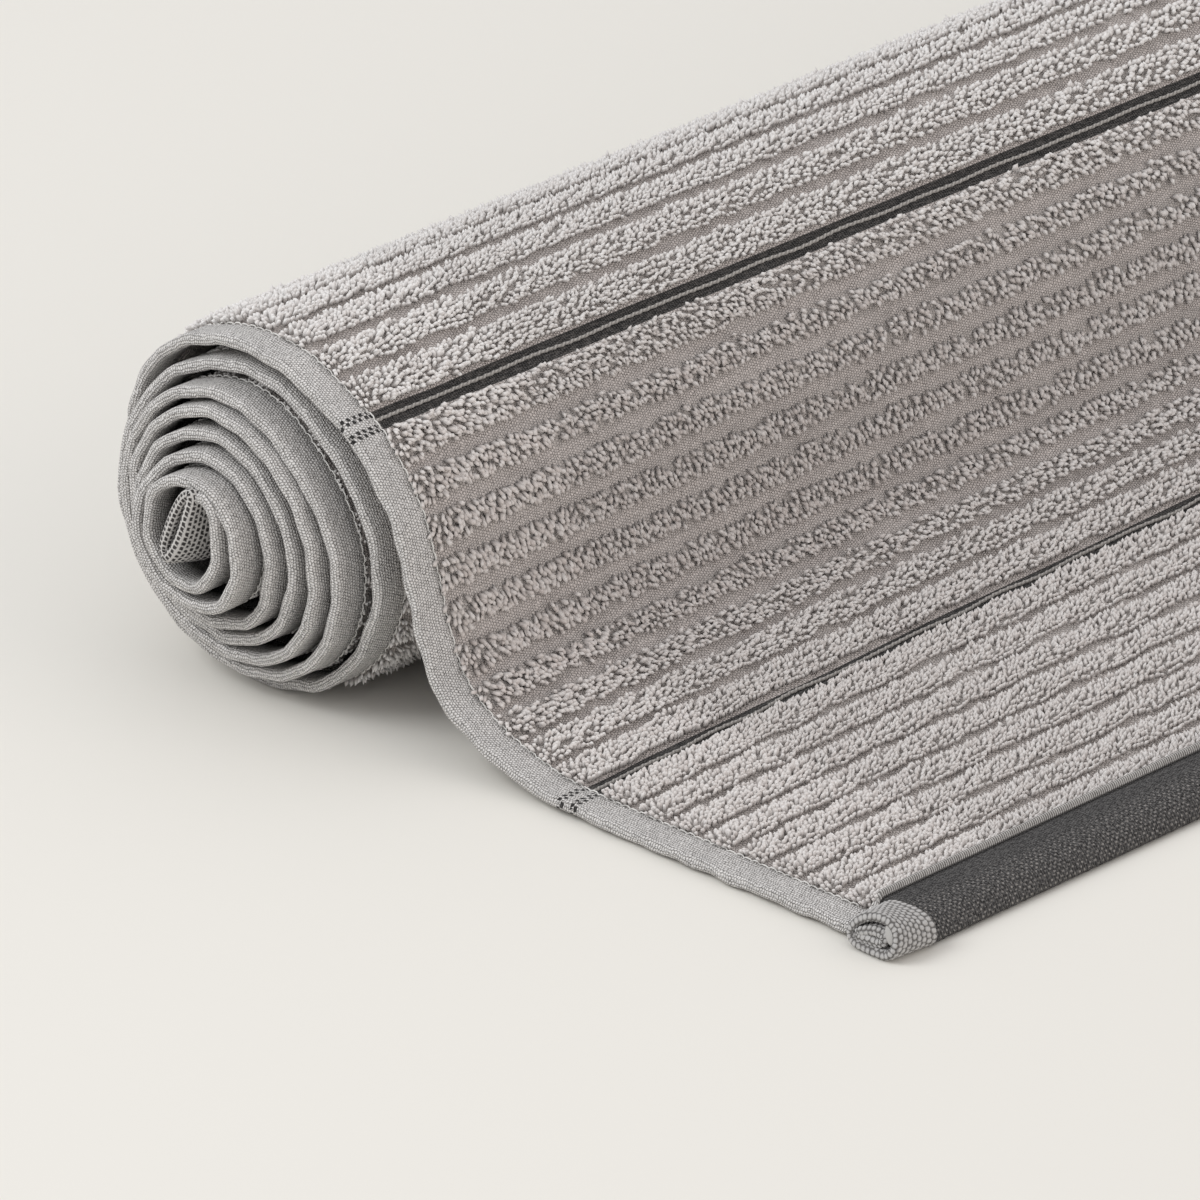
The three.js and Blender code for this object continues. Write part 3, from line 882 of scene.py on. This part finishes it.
def strand(name, points, out_of, sideways, radius, sides, material, shades):
    """A closed round strand along rows of points, with two cross directions at each."""
    turns_round = np.arange(sides) / sides * 2 * np.pi
    cosine, sine = np.cos(turns_round)[:, None], np.sin(turns_round)[:, None]
    shape = out_of[:, None] * cosine + sideways[:, None] * sine
    ring_points = points[:, None] + shape * radius
    count = len(points)
    numbers, _, faces = tube_faces(count, sides)
    caps = [[numbers[0, 0], numbers[0, k + 1], numbers[0, k]] for k in range(1, sides - 1)]
    caps += [[numbers[-1, 0], numbers[-1, k], numbers[-1, k + 1]] for k in range(1, sides - 1)]
    made = mesh_object(name, ring_points.reshape(-1, 3), np.vstack([faces, caps]), material)
    add_values(made, "shade", np.broadcast_to(shades, (count, sides)))
    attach(made, "root")
    return made


for number, line in enumerate(line_ahead):
    w = np.concatenate([np.arange(8.6, 330, 0.6), np.arange(330, 691.6, 5)]) * mm
    twist = 2 * np.pi * w / cord_twist
    fine_part = np.clip((330 * mm - w) / (10 * mm), 0, 1)
    lift = weave_half + cord_radius * 0.8 + 0.08 * mm * np.sin(twist) * fine_part
    middle, onward, outward = spot(towel_length - line + 0.1 * mm * np.cos(twist) * fine_part, w, lift)
    round_at = np.arange(6) / 6 * 2 * np.pi
    # Painted ply shade: light on the two plies, dark in the grooves, an even mid tone beyond 330 mm.
    plies = 0.5 + 0.5 * np.cos(2 * (twist[:, None] - round_at[None, :])) * fine_part[:, None]
    strand(
        f"cord_{number + 1}", middle, onward, outward, cord_radius, 6, cord_material,
        np.clip(1.5 * plies, 0, 1),
    )


# The stitching of the side hems: a light thread in short stitches beside the loops. Each stitch
# arches over the cloth a little and dips into it at both its ends.
stitch = 2.4 * mm
stitch_in = 8.4 * mm
thread_radius = 0.2 * mm
thread_material, tree, shader = new_material("stitching_thread", 0.7)
shader.inputs["Base Color"].default_value = linear(228, 226, 222)


def stitch_row(name, w, from_s, to_s):
    """A row of stitches on the outer face, beside one edge of the towel."""
    count = int((to_s - from_s) / stitch)
    s = from_s + (np.arange(count)[:, None] + np.array([0.02, 0.25, 0.7, 0.97])) * stitch
    sway = 0.12 * mm * np.where(np.arange(count) % 2, 1, -1)[:, None]
    rise = np.array([-0.25, 0.12, 0.14, -0.25]) * mm
    middle, onward, outward = spot(s, w + sway * np.array([0, 1, 1, 0]), side_hem_half - 0.2 * mm + rise)
    middle[..., 2] = np.maximum(middle[..., 2], 0.3 * mm)
    sideways = np.zeros_like(outward)
    sideways[..., 0] = 1
    made = strand(name, middle.reshape(-1, 3), outward.reshape(-1, 3), sideways.reshape(-1, 3),
                  thread_radius, 4, thread_material, 1.0)


stitch_row("near_stitches", stitch_in, 18 * mm, towel_length - 18 * mm)
stitch_row("far_stitches", towel_width - stitch_in, last_turn_from, towel_length - 18 * mm)


# The open ends of the end hems: beside each side edge the fold ends in a stub of coarse checked
# weave in light and dark yarn, rolled round its own turnings. One stub stands out of the core.
check_material, tree, shader = new_material("checked_weave", 0.9, 0.15)
on_stub, u, v = cloth_map(tree)
fray = calc(tree, "MULTIPLY_ADD", noise(tree, on_stub, 1.3, 2), 1.2, -0.6)
in_v, in_u = bricks(
    tree, calc(tree, "MULTIPLY_ADD", fray, 0.3, v), calc(tree, "MULTIPLY_ADD", fray, 0.25, u),
)
check_v = ramp(tree, calc(tree, "MULTIPLY_ADD", fray, 0.5, in_v), 0.5, 0.8, 1, 0)
check_u = ramp(tree, calc(tree, "MULTIPLY_ADD", fray, 0.5, in_u), 0.4, 0.72, 1, 0)
dark_check = calc(tree, "MULTIPLY", check_v, check_u)
colour = blend_colour(tree, dark_check, linear(198, 195, 192), linear(58, 55, 54))
# On the beaded stubs the weave is raised beads: light on their tops, grey toward their edges and between
# them, the grey being painted shade.
beads = calc(tree, "ADD", calc(tree, "MULTIPLY", in_u, in_u), calc(tree, "MULTIPLY", in_v, in_v))
beads = ramp(tree, calc(tree, "MULTIPLY_ADD", fray, 1.6, beads), 0.2, 1.45, 1, 0)
bead_colour = blend_colour(tree, beads, linear(98, 95, 93), linear(184, 182, 180))
colour = blend_colour(tree, attribute(tree, "beaded"), colour, bead_colour)
link(tree, colour, shader.inputs["Base Color"])
rise = calc(tree, "SUBTRACT", 1.0, dark_check)
rise = blend_colour(tree, attribute(tree, "beaded"), rise, beads)
link(tree, bump(tree, calc(tree, "ADD", rise, fray), 0.3 * mm), shader.inputs["Normal"])

# Outlines of a stub, at its end and where it meets the rest of the hem: distance back from the
# nose of the loose end and height for the corner, out and up for the core
corner_end = mm * np.array([
    [14.8, 3.2], [13.2, 1.0], [10.5, 0.3], [5.5, 0.2], [2.2, 0.6], [0.3, 2.4], [-0.3, 5.2],
    [0.8, 7.9], [3.6, 9.6], [7.4, 9.7], [11.0, 8.4], [13.8, 6.0],
])
corner_deep = mm * np.array([
    [15.8, 2.6], [14.0, 0.5], [11.0, 0.15], [5.0, 0.15], [1.2, 0.5], [-0.5, 2.2], [-0.3, 4.8],
    [1.6, 7.1], [4.8, 7.9], [8.5, 7.9], [12.2, 7.4], [15.2, 5.4],
])
corner_fold = mm * np.array([
    [12.6, 3.0], [11.2, 2.0], [8.0, 2.2], [5.0, 2.4], [3.4, 3.4], [3.3, 5.3], [4.8, 6.5],
    [7.5, 6.5], [10.0, 5.8], [12.2, 4.7],
])
core_end = mm * np.array([
    [-6.0, 33.7], [-7.1, 36.6], [-5.3, 42.0], [-2.5, 48.0], [0.5, 52.2], [3.2, 53.4],
    [4.2, 51.2], [3.0, 47.4], [1.2, 42.5], [-0.8, 38.2], [-2.6, 35.4], [-4.4, 33.5],
])
core_deep = mm * np.array([
    [-5.4, 31.8], [-7.2, 36.2], [-5.4, 42.0], [-2.6, 48.0], [0.2, 51.6], [2.8, 52.2],
    [4.6, 50.6], [4.6, 47.2], [3.8, 42.2], [2.4, 37.2], [0.2, 33.4], [-2.8, 31.4],
])


def closed_curve(corners, count):
    """Evenly spaced points of a smooth closed curve through the corners."""
    looped = np.vstack([corners[-1:], corners, corners[:2]])
    t = 1 + np.arange(count * 8) / (count * 8) * len(corners)
    fine = np.stack([along(c, t) for c in looped.T], 1)
    length = np.append(0, np.cumsum(np.hypot(*np.diff(np.vstack([fine, fine[:1]]), axis=0).T)))
    want = np.arange(count) / count * length[-1]
    fine = np.vstack([fine, fine[:1]])
    return np.stack([np.interp(want, length, c) for c in fine.T], 1), length[-1]


def stub(name, end, deep, settle, depth, wall, pitch, row, beaded, around, steps):
    """An open-ended stub between two outlines; settle turns depth and outline into a place."""
    end_curve, length = closed_curve(end, around)
    deep_curve, _ = closed_curve(deep, around)
    rounding = 0.45 * wall
    outside = np.linspace(depth, rounding, steps)
    lip = np.radians([25, 50, 75, 105, 130, 155, 180])
    at = np.concatenate([outside, rounding * (1 - np.sin(lip)), [2 * mm, 3.5 * mm, 5.5 * mm]])
    inset = np.concatenate([np.zeros(steps), wall * (1 - np.cos(lip)) / 2, np.full(3, wall)])
    share = np.clip(at / depth, 0, 1) ** 0.8
    curve = end_curve[None] + (deep_curve - end_curve)[None] * share[:, None, None]
    ahead = np.roll(curve, -1, 1) - np.roll(curve, 1, 1)
    ahead /= np.linalg.norm(ahead, axis=-1, keepdims=True)
    normal = np.stack([ahead[..., 1], -ahead[..., 0]], -1)
    if np.sum(normal[0] * (curve[0] - curve[0].mean(0))) < 0:
        normal = -normal
    v = np.arange(around) / around * round(length / pitch)
    u = -np.append(0, np.cumsum(np.hypot(np.diff(at), np.diff(inset)))) / row + 40
    brick = v[None, :] + 0.5 * (np.floor(u)[:, None] % 2) + 0.5
    pattern = (0.5 + 0.5 * np.cos(2 * np.pi * brick)) * (0.5 - 0.5 * np.cos(2 * np.pi * u[:, None]))
    puff = mm * (0.3 * pattern - 0.18 if beaded else 0.1 - 0.26 * pattern)
    curve = curve + normal * (puff - inset[:, None])[..., None]
    points = settle(at[:, None] + 0 * curve[..., 0], curve[..., 0], curve[..., 1])
    points[..., 2] = np.maximum(points[..., 2], 0.1 * mm)
    numbers = np.arange(len(at) * around).reshape(len(at), around)
    after = np.roll(numbers, -1, 1)
    before_row = np.roll(numbers, 1, 0)
    before_after = np.roll(after, 1, 0)
    faces = np.stack([before_row, before_after, after, numbers], -1).reshape(-1, 4)
    a, b, c = (points.reshape(-1, 3)[faces[:, k]] for k in (0, 1, 2))
    middle = points.reshape(-1, 3).mean(0)
    first = faces[around * 2]
    p = points.reshape(-1, 3)[first]
    axis_point = np.array([p[0, 0], middle[1], middle[2]])
    if np.dot(np.cross(p[1] - p[0], p[2] - p[0]), p[0] - axis_point) < 0:
        faces = faces[:, ::-1]
    made = mesh_object(name, points.reshape(-1, 3), faces, check_material)
    add_values(made, "beaded", np.full(points.size // 3, beaded))
    layer = made.data.uv_layers.new(name="weave")
    full_v = np.append(v, v[-1] + v[1])
    column = faces % around
    wraps = (column.max(1) - column.min(1)) > 1
    v_of = np.where(wraps[:, None] & (column == 0), full_v[-1], v[column])
    u_of = np.repeat(u, around)[faces]
    layer.data.foreach_set("uv", np.stack([u_of, v_of], -1).astype(np.float32).ravel())
    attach(made, "root")


def at_corner(edge_x, way, pull):
    """Settle a stub at one corner of the loose end, its open end cut at a slant."""
    def settle(x, back, up):
        out = hem_reach - pull - back
        slant = 0.3 * up * np.clip(1 - x / (10 * mm), 0, 1)
        placed_x = edge_x + way * (x + slant) + edge_drift * (out - foot_out)
        return np.stack([placed_x, roll_y - out, up], -1)
    return settle


def in_core(x, out, up):
    """Settle a stub at the end of the core that stands out of the roll."""
    return np.stack([near_x - core_proud - 0.4 * mm + x, roll_y - out, up], -1)


def turnings(name, middle, half_long, half_thick, tilt, settle, depth, around, steps):
    """A rounded tongue of folded turnings inside a stub."""
    at = depth * (1 - np.cos(np.linspace(0, np.pi, steps)[1:-1])) / 2
    swell = np.sin(np.linspace(0, np.pi, steps)[1:-1]) ** 0.45
    angle = np.arange(around) / around * 2 * np.pi
    along_it, across_it = half_long * np.cos(angle), half_thick * np.sin(angle)
    first = middle[0] + swell[:, None] * (along_it * math.cos(tilt) - across_it * math.sin(tilt))
    second = middle[1] + swell[:, None] * (along_it * math.sin(tilt) + across_it * math.cos(tilt))
    points = settle(at[:, None] + 0 * first, first, second)
    ends = settle(np.array([0, depth]), np.full(2, middle[0]), np.full(2, middle[1]))
    numbers, after, faces = tube_faces(len(at), around)
    tip, tail = numbers.size, numbers.size + 1
    faces = np.vstack([
        faces, np.stack([np.full(around, tip), after[0], numbers[0]], -1),
        np.stack([np.full(around, tail), numbers[-1], after[-1]], -1),
    ])
    points = np.vstack([points.reshape(-1, 3), ends])
    p = points[faces[around]]
    if np.dot(np.cross(p[1] - p[0], p[2] - p[0]), p[0] - points.mean(0)) < 0:
        faces = faces[:, ::-1]
    made = mesh_object(name, points, faces, tongue_material)
    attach(made, "root")


tongue_material, tree, shader = new_material("folded_turnings", 0.9, 0.15)
shader.inputs["Base Color"].default_value = linear(178, 176, 173)
far_x = near_x + towel_width
far_pull = float(hem_pull[-1])
near_place = at_corner(near_x - 3.4 * mm, 1, 0.0)
far_place = at_corner(far_x + 3.4 * mm, -1, far_pull)
for name, place, around, steps in (("near", near_place, 144, 30), ("far", far_place, 60, 9)):
    turnings(
        f"{name}_tongue", (2.9 * mm, 6.0 * mm), half_long=2.9 * mm, half_thick=1.5 * mm, tilt=1.0,
        settle=place, depth=6 * mm, around=around // 6, steps=12,
    )
    stub(
        f"{name}_fold", corner_fold, corner_fold, place, depth=7 * mm, wall=2.15 * mm,
        pitch=1.4 * mm, row=1.45 * mm, beaded=1, around=around, steps=steps // 2,
    )
    stub(
        f"{name}_corner", corner_end, corner_deep, place, depth=13.2 * mm, wall=2.1 * mm,
        pitch=1.45 * mm, row=1.6 * mm, beaded=1, around=around, steps=steps,
    )
stub(
    "core_end", core_end, core_deep, in_core, depth=10 * mm, wall=2.5 * mm,
    pitch=1.45 * mm, row=1.2 * mm, beaded=0, around=144, steps=28,
)
